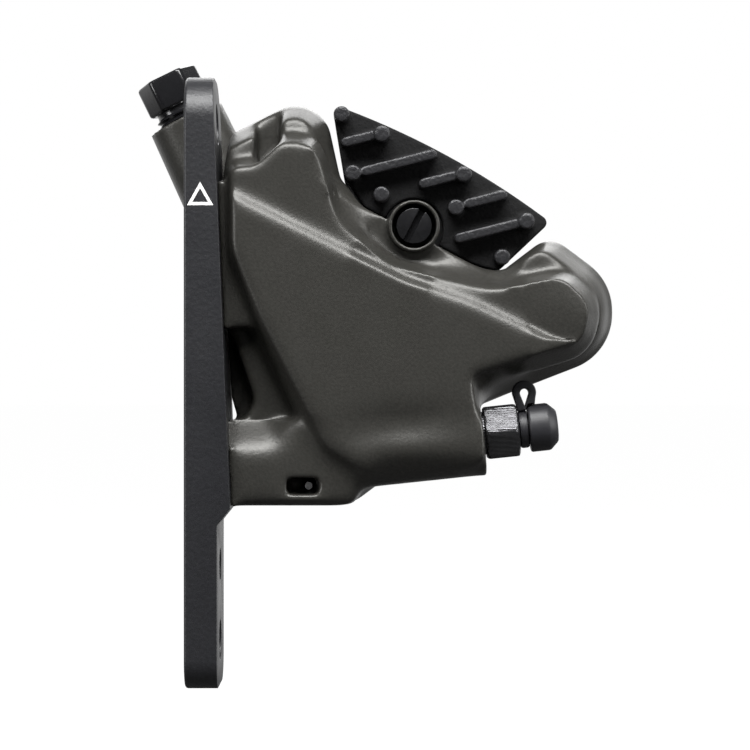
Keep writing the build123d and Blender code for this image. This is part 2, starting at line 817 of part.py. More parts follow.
with BuildPart() as inner_piston_seal:
    add(mirror(outer_piston_seal.part, about=disc_plane, mode=Mode.PRIVATE))
inner_piston_seal.part.label = "inner_piston_seal"
export_step(inner_piston_seal.part, "parts/inner_piston_seal.step")


# Backing plate of a pad: broad below, with a tab that carries the fin and the axle hole
with BuildPart() as outer_pad_backing:
    with BuildSketch(brake_plane(backing_face_y)):
        with Locations((0, (pad_low_radius + pad_shoulder_radius) / 2)):
            RectangleRounded(pad_span, pad_shoulder_radius - pad_low_radius, pad_corner)
        with Locations((0, pad_shoulder_radius - pad_corner)):
            Rectangle(
                pad_tab_span,
                pad_tab_radius - pad_shoulder_radius + pad_corner,
                align=(Align.CENTER, Align.MIN),
            )
        with Locations((0, pad_axle_orbit)):
            Circle(pad_axle_radius + pad_hole_gap, mode=Mode.SUBTRACT)
    extrude(amount=backing_thickness)
outer_pad_backing.part.label = "outer_pad_backing"
export_step(outer_pad_backing.part, "parts/outer_pad_backing.step")


with BuildPart() as inner_pad_backing:
    add(mirror(outer_pad_backing.part, about=disc_plane, mode=Mode.PRIVATE))
inner_pad_backing.part.label = "inner_pad_backing"
export_step(inner_pad_backing.part, "parts/inner_pad_backing.step")


# Friction block of a pad, its outer edge an arc that follows the disc
with BuildPart() as outer_friction:
    half_span = friction_span / 2
    high_end = sqrt(friction_high_radius**2 - half_span**2)
    with BuildSketch(brake_plane(friction_face_y)):
        with BuildLine():
            ThreePointArc((-half_span, high_end), (0, friction_high_radius), (half_span, high_end))
            Polyline(
                (half_span, high_end),
                (half_span, friction_low_radius),
                (-half_span, friction_low_radius),
                (-half_span, high_end),
            )
        make_face()
        fillet(vertices(), friction_corner)
    extrude(amount=friction_thickness)
    chamfer(outer_friction.faces().sort_by(Axis.Y)[-1].edges(), friction_chamfer)
outer_friction.part.label = "outer_friction"
export_step(outer_friction.part, "parts/outer_friction.step")


with BuildPart() as inner_friction:
    add(mirror(outer_friction.part, about=disc_plane, mode=Mode.PRIVATE))
inner_friction.part.label = "inner_friction"
export_step(inner_friction.part, "parts/inner_friction.step")


# Cooling fin: a thick plate with a notch round the axle's boss, studs and slanted ribs
with BuildPart() as outer_fin:
    with BuildSketch(brake_plane(backing_back_y)):
        with BuildLine():
            Polyline(*fin_corners)
            ThreePointArc(fin_corners[-1], (0, fin_top_radius), fin_corners[0])
        make_face()
        fillet(vertices(), fin_corner)
        with Locations((0, pad_axle_orbit)):
            Circle(fin_notch_radius, mode=Mode.SUBTRACT)
    extrude(amount=backing_back_y - fin_front_y)
    with BuildSketch(brake_plane(fin_front_y)):
        with Locations([fin_point(along, up) for along, up in fin_stud_shares]):
            Circle(fin_stud_radius)
    extrude(amount=fin_stud_height)
    for along, up, length in fin_rib_shares:
        with BuildSketch(brake_plane(fin_front_y)):
            with Locations(fin_point(along, up)):
                SlotOverall(length * fin_span, fin_rib_width, rotation=pad_angle + fin_rib_tilt)
        extrude(amount=fin_rib_height)
outer_fin.part.label = "outer_fin"
export_step(outer_fin.part, "parts/outer_fin.step")


with BuildPart() as inner_fin:
    add(mirror(outer_fin.part, about=disc_plane, mode=Mode.PRIVATE))
inner_fin.part.label = "inner_fin"
export_step(inner_fin.part, "parts/inner_fin.step")


# Pad axle: slotted head, shank, groove of its O-ring and groove of its snap ring
with BuildPart() as pad_axle:
    with BuildSketch(at_depth(axle_head_back_y)):
        with Locations((pad_axle_x, pad_axle_z)):
            Circle(pad_axle_head_radius)
    extrude(amount=pad_axle_head_height)
    with BuildSketch(at_depth(axle_end_y)):
        with Locations((pad_axle_x, pad_axle_z)):
            Circle(pad_axle_radius)
    extrude(amount=axle_end_y - axle_head_back_y)
    with BuildSketch(at_depth(pad_axle_head_y + pad_axle_slot_depth)):
        with Locations((pad_axle_x, pad_axle_z)):
            Rectangle(2 * pad_axle_head_radius, pad_axle_slot_width, rotation=pad_axle_slot_turn)
    extrude(amount=overrun, mode=Mode.SUBTRACT)
    for groove_y, groove_width, groove_depth in (
        (axle_ring_y, axle_ring_section, axle_ring_depth),
        (snap_ring_y, snap_ring_thickness, snap_ring_groove),
    ):
        with BuildSketch(at_depth(groove_y)):
            with Locations((pad_axle_x, pad_axle_z)):
                Circle(pad_axle_radius)
                Circle(pad_axle_radius - groove_depth, mode=Mode.SUBTRACT)
        extrude(amount=-groove_width, mode=Mode.SUBTRACT)
pad_axle.part.label = "pad_axle"
export_step(pad_axle.part, "parts/pad_axle.step")


with BuildPart() as pad_axle_oring:
    with BuildSketch(at_depth(axle_ring_y)):
        with Locations((pad_axle_x, pad_axle_z)):
            Circle(pad_axle_radius + running_gap)
            Circle(pad_axle_radius - axle_ring_depth, mode=Mode.SUBTRACT)
    extrude(amount=-axle_ring_section)
pad_axle_oring.part.label = "pad_axle_oring"
export_step(pad_axle_oring.part, "parts/pad_axle_oring.step")


# Open snap ring on the axle's inboard end
with BuildPart() as pad_axle_snap_ring:
    with BuildSketch(at_depth(snap_ring_y)):
        with Locations((pad_axle_x, pad_axle_z)):
            Circle(snap_ring_radius)
            Circle(pad_axle_radius - snap_ring_groove, mode=Mode.SUBTRACT)
        with Locations((pad_axle_x, pad_axle_z)):
            Rectangle(
                pad_axle_radius,
                2 * pad_axle_radius,
                align=(Align.CENTER, Align.MIN),
                mode=Mode.SUBTRACT,
            )
    extrude(amount=-snap_ring_thickness)
pad_axle_snap_ring.part.label = "pad_axle_snap_ring"
export_step(pad_axle_snap_ring.part, "parts/pad_axle_snap_ring.step")


# Pad spring: a leaf folded over the disc, hung on the axle, its legs against the pads
with BuildPart() as pad_spring:
    leg_front = backing_face_y + spring_pad_gap
    leg_back = across(leg_front)
    turn = radians(pad_angle)
    spring_plane = Plane(
        origin=(axle_x, 0, axle_z),
        x_dir=(0, 1, 0),
        z_dir=(cos(turn), 0, -sin(turn)),
    )
    with BuildSketch(spring_plane):
        with Locations((rotor_y, spring_low_radius + spring_height / 2)):
            Rectangle(leg_back - leg_front, spring_height)
            with Locations((0, -spring_thickness)):
                Rectangle(
                    leg_back - leg_front - 2 * spring_thickness,
                    spring_height,
                    mode=Mode.SUBTRACT,
                )
    extrude(amount=spring_span / 2, both=True)
    with BuildSketch(at_depth(0)):
        with Locations((pad_axle_x, pad_axle_z)):
            Circle(pad_axle_radius + spring_eye_gap)
    extrude(amount=-overrun, mode=Mode.SUBTRACT)
pad_spring.part.label = "pad_spring"
export_step(pad_spring.part, "parts/pad_spring.step")


# Hose nut: hollow, threaded below its hexagon, backed out by its stand-off
with BuildPart() as hose_nut:
    with BuildSketch(tower_plane(nut_stand_off)):
        RegularPolygon(nut_hex_across / 2, 6, major_radius=False, rotation=nut_hex_turn)
    extrude(amount=nut_hex_height)
    with BuildSketch(tower_plane(nut_stand_off)):
        Circle(nut_thread_radius)
    extrude(amount=-nut_thread_length)
    with BuildSketch(tower_plane(nut_stand_off)):
        Circle(hose_bore_radius)
    extrude(amount=overrun, both=True, mode=Mode.SUBTRACT)
hose_nut.part.label = "hose_nut"
export_step(hose_nut.part, "parts/hose_nut.step")


with BuildPart() as hose_olive:
    olive_plane = tower_plane(-olive_end_depth)
    with BuildSketch(olive_plane):
        Circle(olive_radius)
    extrude(amount=olive_length)
    chamfer(hose_olive.edges().filter_by(GeomType.CIRCLE), olive_taper)
    with BuildSketch(olive_plane):
        Circle(hose_bore_radius)
    extrude(amount=overrun, mode=Mode.SUBTRACT)
hose_olive.part.label = "hose_olive"
export_step(hose_olive.part, "parts/hose_olive.step")


# Bleed nipple: thread, hexagon, neck, barb and tip, drilled through
nipple_hex_end = nipple_seat_gap + nipple_hex_length
nipple_neck_end = nipple_hex_end + nipple_neck_length
with BuildPart() as bleed_nipple:
    with BuildSketch(nipple_plane(-nipple_thread_length)):
        Circle(nipple_thread_radius)
    extrude(amount=nipple_thread_length + nipple_seat_gap)
    with BuildSketch(nipple_plane(nipple_seat_gap)):
        RegularPolygon(nipple_hex_across / 2, 6, major_radius=False, rotation=nipple_hex_turn)
    extrude(amount=nipple_hex_length)
    with BuildSketch(nipple_plane(nipple_hex_end)):
        Circle(nipple_neck_radius)
    extrude(amount=nipple_neck_length)
    with BuildSketch(nipple_plane(nipple_neck_end)):
        Circle(nipple_barb_radius)
    with BuildSketch(nipple_plane(nipple_neck_end + nipple_barb_length)):
        Circle(nipple_tip_radius)
    loft(ruled=True)
    with BuildSketch(nipple_plane(nipple_neck_end + nipple_barb_length)):
        Circle(nipple_tip_radius)
    extrude(amount=nipple_tip_length - nipple_barb_length)
    with BuildSketch(nipple_plane(0)):
        Circle(nipple_bore_radius)
    extrude(amount=overrun, both=True, mode=Mode.SUBTRACT)
    with BuildSketch(nipple_plane(0)):
        Circle(nipple_thread_radius)
        Circle(nipple_thread_radius - nipple_ring_section, mode=Mode.SUBTRACT)
    extrude(amount=-nipple_ring_section, mode=Mode.SUBTRACT)
bleed_nipple.part.label = "bleed_nipple"
export_step(bleed_nipple.part, "parts/bleed_nipple.step")


with BuildPart() as nipple_oring:
    with BuildSketch(nipple_plane(0)):
        Circle(nipple_thread_radius)
        Circle(nipple_thread_radius - nipple_ring_section, mode=Mode.SUBTRACT)
    extrude(amount=-nipple_ring_section)
nipple_oring.part.label = "nipple_oring"
export_step(nipple_oring.part, "parts/nipple_oring.step")


# Rubber ring on the nipple's neck, cap on its tip and the looped strap between them
with BuildPart() as cap_ring:
    with BuildSketch(nipple_plane(nipple_hex_end + strap_gap)):
        Circle(cap_ring_radius)
        Circle(nipple_neck_radius, mode=Mode.SUBTRACT)
    extrude(amount=cap_ring_length)
cap_ring.part.label = "cap_ring"
export_step(cap_ring.part, "parts/cap_ring.step")


with BuildPart() as nipple_cap:
    with BuildSketch(nipple_plane(cap_start)):
        Circle(cap_radius)
    extrude(amount=cap_length)
    chamfer(nipple_cap.edges().sort_by(Axis.X)[-1], cap_chamfer)
    with BuildSketch(nipple_plane(cap_start)):
        Circle(nipple_barb_radius + running_gap)
    extrude(amount=nipple_tip_length + cap_end_gap, mode=Mode.SUBTRACT)
nipple_cap.part.label = "nipple_cap"
export_step(nipple_cap.part, "parts/nipple_cap.step")


with BuildPart() as cap_strap:
    loop_centre = nipple_hex_end + cap_ring_length
    left_foot = nipple_hex_end + strap_gap
    right_foot = cap_start + strap_foot_length
    strap_plane = Plane(
        origin=nipple_plane(0).origin,
        x_dir=nipple_axis,
        z_dir=(0, -1, 0),
    )
    with BuildSketch(strap_plane):
        with BuildLine():
            Polyline(
                (loop_centre - strap_loop_radius, strap_loop_rise),
                (left_foot, nipple_hex_across / 2),
                (left_foot, cap_ring_radius + strap_gap),
                (cap_start - strap_gap, cap_ring_radius + strap_gap),
                (cap_start - strap_gap, cap_radius + strap_gap),
                (right_foot, cap_radius + strap_gap),
                (loop_centre + strap_loop_radius, strap_loop_rise),
            )
            ThreePointArc(
                (loop_centre + strap_loop_radius, strap_loop_rise),
                (loop_centre, strap_loop_rise + strap_loop_radius),
                (loop_centre - strap_loop_radius, strap_loop_rise),
            )
        make_face()
        with Locations((loop_centre, strap_loop_rise)):
            Circle(strap_hole_radius, mode=Mode.SUBTRACT)
    extrude(amount=strap_width / 2, both=True)
cap_strap.part.label = "cap_strap"
export_step(cap_strap.part, "parts/cap_strap.step")
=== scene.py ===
"""Looks of the flat-mount disc brake caliper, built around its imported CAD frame.

The scene is in metres. Sizes of the pieces are in millimetres, which MM turns into metres.
"""

import json
import math

import bmesh
import bpy
import numpy as np
from mathutils import Matrix, Vector


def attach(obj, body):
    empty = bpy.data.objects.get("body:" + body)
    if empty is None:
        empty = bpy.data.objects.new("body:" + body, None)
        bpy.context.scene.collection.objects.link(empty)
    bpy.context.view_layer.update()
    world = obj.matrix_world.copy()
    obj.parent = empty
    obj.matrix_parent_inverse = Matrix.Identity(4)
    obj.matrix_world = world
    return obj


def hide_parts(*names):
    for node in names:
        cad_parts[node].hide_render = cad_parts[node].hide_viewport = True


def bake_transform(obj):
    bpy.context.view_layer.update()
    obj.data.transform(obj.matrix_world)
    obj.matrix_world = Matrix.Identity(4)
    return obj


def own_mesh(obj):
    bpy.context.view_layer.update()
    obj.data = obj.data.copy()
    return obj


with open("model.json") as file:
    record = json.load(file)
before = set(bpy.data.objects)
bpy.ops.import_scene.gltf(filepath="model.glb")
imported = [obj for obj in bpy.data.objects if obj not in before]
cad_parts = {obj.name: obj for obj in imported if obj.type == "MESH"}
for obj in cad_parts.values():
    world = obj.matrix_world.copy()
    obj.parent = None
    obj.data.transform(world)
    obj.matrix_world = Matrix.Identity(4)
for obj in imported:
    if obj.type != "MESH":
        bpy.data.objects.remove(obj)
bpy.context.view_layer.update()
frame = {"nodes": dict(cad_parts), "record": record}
nodes = frame["nodes"]
MM = 0.001

# Camera and light, in metres, pixels and watts, with the sensor in millimetres
IMAGE_PX = 750
FOCAL_PX = 2865
SENSOR_WIDTH = 36
CLIP_RANGE = (0.01, 20)
CAMERA = Vector((25.4, -389.0, 0.97)) * MM
AIM = Vector((0.025, 0.0, 0.0))
FLOOR_PLACE = (0.025, 0.0, -0.066)
FLOOR_RADIUS = 6.0
FLOOR_SEGMENTS = 96
FLOOR_GREY = (0.06, 0.06, 0.06, 1)
FLOOR_WHITE = 0.985
FLOOR_MIRROR_Y = (0.05, 0.50)
WORLD_DIM = 0.10
WORLD_BRIGHT = 0.25
WORLD_BRIGHT_Y = (0.1, 0.7)
WORLD_MIRROR_Y = (0.55, 1.0)
# Lamp: place, size across and up, power
LAMPS = {
    "top_soft": ((0.03, -0.30, 0.46), (0.55, 0.25), 8.5),
    "right_soft": ((0.55, -0.12, 0.16), (0.16, 0.30), 1.7),
    "left_soft": ((-0.50, -0.22, 0.10), (0.14, 0.30), 1.3),
    "back_soft": ((0.03, 0.45, 0.30), (0.50, 0.20), 1.4),
}
bpy.context.scene.view_settings.view_transform = "Standard"


def add_camera():
    data = bpy.data.cameras.new("camera")
    data.sensor_width = SENSOR_WIDTH
    data.lens = SENSOR_WIDTH * FOCAL_PX / IMAGE_PX
    data.clip_start, data.clip_end = CLIP_RANGE
    camera = bpy.data.objects.new("camera", data)
    camera.location = CAMERA
    camera.rotation_euler = (math.radians(90), 0, 0)
    bpy.context.scene.collection.objects.link(camera)
    bpy.context.scene.camera = camera


def add_lamp(name, place, size, power):
    data = bpy.data.lights.new(name, "AREA")
    data.shape = "RECTANGLE"
    data.size, data.size_y = size
    data.energy = power
    lamp = bpy.data.objects.new(name, data)
    lamp.location = place
    lamp.rotation_euler = (AIM - Vector(place)).to_track_quat("-Z", "Y").to_euler()
    bpy.context.scene.collection.objects.link(lamp)


def add_node(tree, kind, values=None, **settings):
    """A new shader node, with its settings and the plain values of its inputs."""
    node = tree.nodes.new("ShaderNode" + kind)
    for name, value in settings.items():
        setattr(node, name, value)
    for name, value in (values or {}).items():
        node.inputs[name].default_value = value
    return node


def fade_in(tree, value, low, high):
    """0 below low and 1 above high, with a smooth step between."""
    ends = {"From Min": low, "From Max": high}
    fade = add_node(tree, "MapRange", ends, interpolation_type="SMOOTHSTEP")
    tree.links.new(value, fade.inputs["Value"])
    return fade.outputs[0]


def background_share(tree, behind):
    """Rays that meet the white background: all seen directly or through glass, and mirrored
    ones where they reach the part of it that lies behind the object."""
    path = add_node(tree, "LightPath")
    mirrored = add_node(tree, "Math", operation="MULTIPLY")
    tree.links.new(path.outputs["Is Glossy Ray"], mirrored.inputs[0])
    tree.links.new(behind, mirrored.inputs[1])
    share = mirrored.outputs[0]
    for kind in ("Is Camera Ray", "Is Transmission Ray"):
        either = add_node(tree, "Math", operation="MAXIMUM")
        tree.links.new(path.outputs[kind], either.inputs[0])
        tree.links.new(share, either.inputs[1])
        share = either.outputs[0]
    return share


def add_world():
    """White to the camera and behind the object, dim grey in front, so ridges stand out."""
    world = bpy.data.worlds.new("studio")
    bpy.context.scene.world = world
    world.use_nodes = True
    tree = world.node_tree
    tree.nodes.clear()
    out = add_node(tree, "OutputWorld")
    mix = add_node(tree, "MixShader")
    white = {"Color": (1, 1, 1, 1)}
    seen = add_node(tree, "Background", white)
    lit = add_node(tree, "Background", white)
    coord = add_node(tree, "TexCoord")
    parts = add_node(tree, "SeparateXYZ")
    level = add_node(tree, "MapRange", {"To Min": WORLD_DIM, "To Max": WORLD_BRIGHT})
    tree.links.new(coord.outputs["Generated"], parts.inputs[0])
    bright = fade_in(tree, parts.outputs["Y"], *WORLD_BRIGHT_Y)
    mirror = fade_in(tree, parts.outputs["Y"], *WORLD_MIRROR_Y)
    tree.links.new(bright, level.inputs["Value"])
    tree.links.new(level.outputs[0], lit.inputs["Strength"])
    tree.links.new(background_share(tree, mirror), mix.inputs[0])
    tree.links.new(lit.outputs[0], mix.inputs[1])
    tree.links.new(seen.outputs[0], mix.inputs[2])
    tree.links.new(mix.outputs[0], out.inputs[0])


def floor_material():
    """Dark to the lamps, and white where the camera or a mirrored ray sees it."""
    material = bpy.data.materials.new("pale_floor")
    material.use_nodes = True
    tree = material.node_tree
    tree.nodes.clear()
    out = add_node(tree, "OutputMaterial")
    both = add_node(tree, "AddShader")
    mix = add_node(tree, "MixShader")
    place = add_node(tree, "NewGeometry")
    parts = add_node(tree, "SeparateXYZ")
    dull = add_node(tree, "BsdfDiffuse", {"Color": FLOOR_GREY})
    dark = add_node(tree, "Emission", {"Strength": 0.0})
    glow = add_node(tree, "Emission", {"Strength": FLOOR_WHITE})
    tree.links.new(place.outputs["Position"], parts.inputs[0])
    mirror = fade_in(tree, parts.outputs["Y"], *FLOOR_MIRROR_Y)
    tree.links.new(background_share(tree, mirror), mix.inputs[0])
    tree.links.new(dark.outputs[0], mix.inputs[1])
    tree.links.new(glow.outputs[0], mix.inputs[2])
    tree.links.new(dull.outputs[0], both.inputs[0])
    tree.links.new(mix.outputs[0], both.inputs[1])
    tree.links.new(both.outputs[0], out.inputs[0])
    return material


def mesh_of(bm, name):
    """Turns a bmesh into a mesh and frees it."""
    mesh = bpy.data.meshes.new(name)
    bm.to_mesh(mesh)
    bm.free()
    return mesh


def add_floor():
    bm = bmesh.new()
    bmesh.ops.create_circle(bm, cap_ends=True, segments=FLOOR_SEGMENTS, radius=FLOOR_RADIUS)
    floor = bpy.data.objects.new("floor", mesh_of(bm, "floor"))
    floor.location = FLOOR_PLACE
    bpy.context.scene.collection.objects.link(floor)
    floor.data.materials.append(floor_material())


add_camera()
add_world()
add_floor()
for lamp_name, (lamp_place, lamp_size, lamp_power) in LAMPS.items():
    add_lamp(lamp_name, lamp_place, lamp_size, lamp_power)

# Materials: the noise is in object coordinates, so its scales are per metre
ROTOR_Y = 12.5
WIDE_TO_FINE = 14
ROUGH_BELOW, ROUGH_ABOVE = 0.06, 0.08
# Painted shade of the fin valleys: the share of the coat's colour left where they are deepest,
# and the roughness there
VALLEY_PAINTED_SHADE, VALLEY_ROUGH = 0.12, 0.85


def grained(name, color, rough, metallic, grain, depth, speck):
    """Satin or grained surface: fine noise in colour and height, wide noise in roughness."""
    material = bpy.data.materials.new(name)
    material.use_nodes = True
    tree = material.node_tree
    shader = tree.nodes["Principled BSDF"]
    shader.inputs["Metallic"].default_value = metallic
    place = add_node(tree, "TexCoord")
    fine = add_node(tree, "TexNoise", {"Scale": grain, "Detail": 4.0})
    wide = add_node(tree, "TexNoise", {"Scale": grain / WIDE_TO_FINE, "Detail": 3.0})
    for noise in (fine, wide):
        tree.links.new(place.outputs["Object"], noise.inputs["Vector"])
    shade = add_node(tree, "MapRange", {"To Min": 1 - speck, "To Max": 1 + speck})
    tree.links.new(fine.outputs[0], shade.inputs[0])
    tint = add_node(tree, "VectorMath", {0: color}, operation="SCALE")
    tree.links.new(shade.outputs[0], tint.inputs["Scale"])
    tree.links.new(tint.outputs[0], shader.inputs["Base Color"])
    spread = {"To Min": rough - ROUGH_BELOW, "To Max": rough + ROUGH_ABOVE}
    satin = add_node(tree, "MapRange", spread)
    tree.links.new(wide.outputs[0], satin.inputs[0])
    tree.links.new(satin.outputs[0], shader.inputs["Roughness"])
    bump = add_node(tree, "Bump", {"Strength": depth, "Distance": 0.2 * MM})
    tree.links.new(fine.outputs[0], bump.inputs["Height"])
    tree.links.new(bump.outputs[0], shader.inputs["Normal"])
    return material


def cast(name, color, rough, low, high):
    """Cast fin coat with painted shade, darker in the valleys towards the rotor plane: low and
    high are distances from the rotor plane.
    """
    material = grained(name, color, rough, 0.2, 2200, 0.6, 0.5)
    tree = material.node_tree
    shader = tree.nodes["Principled BSDF"]
    place = add_node(tree, "TexCoord")
    parts = add_node(tree, "SeparateXYZ")
    shift = add_node(tree, "Math", {1: ROTOR_Y * MM}, operation="SUBTRACT")
    away = add_node(tree, "Math", operation="ABSOLUTE")
    # Painted shade: the base colour darkens towards the rotor plane, deep in the valleys between
    # the ribs
    ends = {"From Min": low * MM, "From Max": high * MM, "To Min": VALLEY_PAINTED_SHADE}
    painted_shade = add_node(tree, "MapRange", ends)
    tint = add_node(tree, "VectorMath", operation="SCALE")
    speckled = shader.inputs["Base Color"].links[0].from_socket
    tree.links.new(place.outputs["Object"], parts.inputs[0])
    tree.links.new(parts.outputs["Y"], shift.inputs[0])
    tree.links.new(shift.outputs[0], away.inputs[0])
    tree.links.new(away.outputs[0], painted_shade.inputs["Value"])
    tree.links.new(speckled, tint.inputs[0])
    tree.links.new(painted_shade.outputs[0], tint.inputs["Scale"])
    tree.links.new(tint.outputs[0], shader.inputs["Base Color"])
    ends = {"From Min": VALLEY_PAINTED_SHADE, "To Min": VALLEY_ROUGH, "To Max": rough}
    dull = add_node(tree, "MapRange", ends)
    tree.links.new(painted_shade.outputs[0], dull.inputs["Value"])
    tree.links.new(dull.outputs[0], shader.inputs["Roughness"])
    shader.inputs["Specular IOR Level"].default_value = 0.35
    return material


def milled(name, color, rough):
    """Steel with the fine curved marks of a cutter."""
    material = grained(name, color, rough, 0.8, 1500, 0.1, 0.3)
    tree = material.node_tree
    waves = {"Scale": 1000, "Distortion": 3.0, "Detail": 2.0}
    marks = add_node(tree, "TexWave", waves, wave_type="RINGS")
    place = add_node(tree, "TexCoord")
    bump = add_node(tree, "Bump", {"Strength": 0.3, "Distance": 0.1 * MM})
    tree.links.new(place.outputs["Object"], marks.inputs["Vector"])
    tree.links.new(marks.outputs["Fac"], bump.inputs["Height"])
    tree.links.new(bump.outputs[0], tree.nodes["Principled BSDF"].inputs["Normal"])
    return material


# Slot: material, colour, roughness, metal, scale of the grain, its depth and its speck
GRAINED = {
    "plate": ("plate_anodised", (0.0105, 0.0108, 0.0128), 0.42, 0.0, 1800, 0.25, 0.4),
    "body": ("body_coat", (0.034, 0.033, 0.0292), 0.37, 0.3, 2600, 0.15, 0.4),
    "plug": ("plug_anodised", (0.03, 0.03, 0.034), 0.35, 0.6, 1500, 0.1, 0.2),
    "seal_rubber": ("seal_rubber", (0.02, 0.02, 0.02), 0.6, 0.0, 900, 0.1, 0.2),
    "piston": ("piston_resin", (0.30, 0.24, 0.18), 0.5, 0.0, 900, 0.1, 0.2),
    "pad_steel": ("pad_steel", (0.42, 0.42, 0.43), 0.38, 0.9, 1500, 0.1, 0.15),
    "friction": ("friction_compound", (0.10, 0.085, 0.07), 0.85, 0.1, 700, 0.6, 0.6),
    "spring_steel": ("spring_steel", (0.55, 0.55, 0.56), 0.25, 1.0, 1500, 0.05, 0.1),
    "axle_steel": ("axle_steel", (0.012, 0.012, 0.013), 0.2, 0.3, 1500, 0.15, 0.3),
    "bolt_steel": ("bolt_steel", (0.07, 0.07, 0.075), 0.35, 0.8, 1500, 0.1, 0.3),
    "pin_steel": ("pin_steel", (0.75, 0.75, 0.76), 0.2, 1.0, 1500, 0.05, 0.1),
    "nut_steel": ("nut_gloss", (0.008, 0.008, 0.009), 0.16, 0.1, 1500, 0.05, 0.2),
    "olive_brass": ("olive_brass", (0.70, 0.50, 0.22), 0.3, 1.0, 1500, 0.05, 0.1),
    "cap_rubber": ("cap_rubber", (0.012, 0.012, 0.0145), 0.5, 0.0, 700, 0.2, 0.3),
}
looks = {slot: grained(*look) for slot, look in GRAINED.items()}
# The fin coat has painted shade in its valleys
looks["fin"] = cast("fin_coat_painted_shade", (0.026, 0.026, 0.028), 0.34, 9.0, 11.3)
looks["nipple_steel"] = milled("nipple_steel", (0.075, 0.075, 0.078), 0.24)
mark_paint = grained("mark_paint", (0.75, 0.75, 0.73), 0.5, 0.0, 900, 0.12, 0.25)


def coat(mesh, material):
    mesh.materials.clear()
    mesh.materials.append(material)


slot_of = {s["node"]: s["material_slot"] for s in frame["record"]["subparts"]}
for node_name, node_object in nodes.items():
    coat(node_object.data, looks[slot_of[node_name]])

# Pieces
# Sizes of the CAD model that the pieces follow
PIN_AXIS_XZ = (30.67, 21.04)
WINDOW_XZ = (15.75, -13.9)
WINDOW_HALF_XZ = (2.2, 1.15)
SEAT_X = 5.47
SEAT_WEDGE = math.radians(2.39)
DISC_XZ = (-8.1, -52.8)
PAD_TURN = math.radians(27.7)
PAD_HALF = 13.2
PAD_LOW = 60
PISTON_OUT = 68.6
FIN_HALF = 16.2
FIN_SHIFT = 0.5
FIN_LOW = 82.2
NIPPLE_ORIGIN = Vector((39.9, -2.6, -6.9))
NIPPLE_TILT = math.radians(6)
TOWER_ORIGIN = Vector((-1.6, 21.0, 37.5))
TOWER_LEAN = math.radians(26)

# Lathe: origin, axis, and the way across it that the turning starts from
NIPPLE_COS, NIPPLE_SIN = math.cos(NIPPLE_TILT), math.sin(NIPPLE_TILT)
TOWER_COS, TOWER_SIN = math.cos(TOWER_LEAN), math.sin(TOWER_LEAN)
NIPPLE_LATHE = (NIPPLE_ORIGIN, (NIPPLE_COS, 0, NIPPLE_SIN), (-NIPPLE_SIN, 0, NIPPLE_COS))
TOWER_LATHE = (TOWER_ORIGIN, (-TOWER_SIN, 0, TOWER_COS), (0, 1, 0))

# Welding distance and flat angle of a clean copy, and the pull of one round of relaxing
WELD = 0.002
FLAT_ANGLE = math.radians(0.6)
PULL = 0.6


def new_object(name, mesh, slot, body, *replaced):
    piece = bpy.data.objects.new(name, mesh)
    bpy.context.scene.collection.objects.link(piece)
    coat(mesh, looks[slot])
    if body:
        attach(piece, body)
    if replaced:
        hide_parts(*replaced)
    return piece


def smooth(mesh, sharp_over=None):
    """Smooth shading, but for edges sharper than an angle in degrees."""
    for face in mesh.polygons:
        face.use_smooth = True
    if sharp_over:
        mesh.set_sharp_from_angle(angle=math.radians(sharp_over))


def clean_copy(node):
    """The node's mesh as one welded shell with its flat faces whole."""
    bm = bmesh.new()
    bm.from_mesh(nodes[node].data)
    bmesh.ops.remove_doubles(bm, verts=bm.verts, dist=WELD * MM)
    bmesh.ops.dissolve_limit(
        bm, angle_limit=FLAT_ANGLE, verts=bm.verts, edges=bm.edges, delimit={"NORMAL"}
    )
    return mesh_of(bm, node + "_mesh")


def evaluated_mesh(shape):
    """The object's mesh as its modifiers and curve settings leave it."""
    bpy.context.view_layer.update()
    graph = bpy.context.evaluated_depsgraph_get()
    return bpy.data.meshes.new_from_object(shape.evaluated_get(graph), depsgraph=graph)


def applied(piece):
    """The piece's mesh with its modifiers applied."""
    mesh = evaluated_mesh(piece)
    piece.modifiers.clear()
    piece.data = mesh
    return mesh


def beveled(node, name, slot, body, width, segments):
    """A copy of a CAD node whose sharp edges are broken by a small round."""
    piece = new_object(name, clean_copy(node), slot, None)
    bevel = piece.modifiers.new("bevel", "BEVEL")
    bevel.width = width * MM
    bevel.segments = segments
    bevel.limit_method = "ANGLE"
    bevel.angle_limit = math.radians(35)
    bevel.use_clamp_overlap = True
    mesh = applied(piece)
    coat(mesh, looks[slot])
    smooth(mesh, sharp_over=28)
    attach(piece, body)
    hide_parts(node)


def voxel_copy(node, name, slot, voxel):
    """A copy of a CAD node as an even mesh, with its points in metres and its edges."""
    piece = new_object(name, clean_copy(node), slot, None)
    remesh = piece.modifiers.new("remesh", "REMESH")
    remesh.mode = "VOXEL"
    remesh.voxel_size = voxel * MM
    mesh = applied(piece)
    places = np.empty(len(mesh.vertices) * 3)
    mesh.vertices.foreach_get("co", places)
    edges = np.empty(len(mesh.edges) * 2, np.int32)
    mesh.edges.foreach_get("vertices", edges)
    return piece, places.reshape(-1, 3), edges.reshape(-1, 2)


def shaped(piece, places, slot, body, node):
    """Moves the voxel copy's points, coats it and lets it stand for its CAD node."""
    mesh = piece.data
    mesh.vertices.foreach_set("co", places.ravel())
    mesh.update()
    coat(mesh, looks[slot])
    smooth(mesh)
    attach(piece, body)
    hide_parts(node)


def smooth_step(value, low, high):
    """0 below low and 1 above high, with a smooth step between."""
    share = np.clip((value - low) / (high - low), 0, 1)
    return share * share * (3 - 2 * share)


